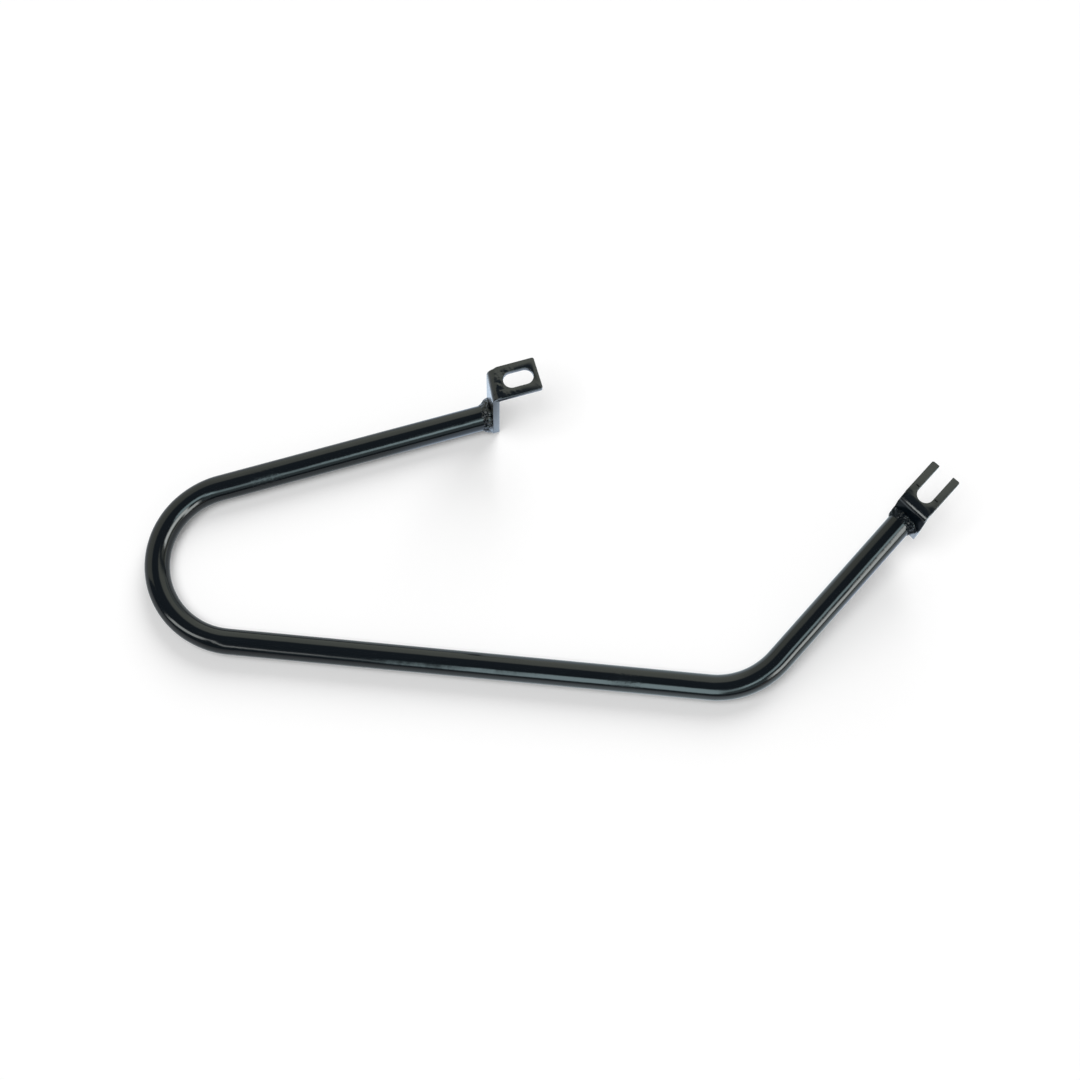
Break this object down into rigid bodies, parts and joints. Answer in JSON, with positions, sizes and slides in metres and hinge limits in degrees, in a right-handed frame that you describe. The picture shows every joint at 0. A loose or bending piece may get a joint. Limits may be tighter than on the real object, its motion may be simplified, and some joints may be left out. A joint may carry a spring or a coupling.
{
  "type": "pannier frame",
  "caption": "One-side pannier frame for a motorbike: a bent round tube with a hairpin and a kicked-up run, a slotted folded bracket on one end and a forked one on the other.",
  "frame": {"origin": "middle of the closed slot, on the mounting plane that the upper faces of both brackets share", "axes": "+X along the long straight run towards the forked end, +Y from the long run towards the slotted bracket, +Z out of the mounting faces, away from the tube loop"},
  "size_m": [0.465, 0.1821, 0.0543],
  "materials": {
    "black_paint": "gloss black paint over steel",
    "painted_weld": "gloss black paint over a rippled weld bead"
  },
  "bodies": {
    "root": {"tube": "black_paint", "slotted_bracket": "black_paint", "forked_bracket": "black_paint", "slotted_bracket_weld": "painted_weld", "forked_bracket_weld": "painted_weld"}
  },
  "joints": []
}
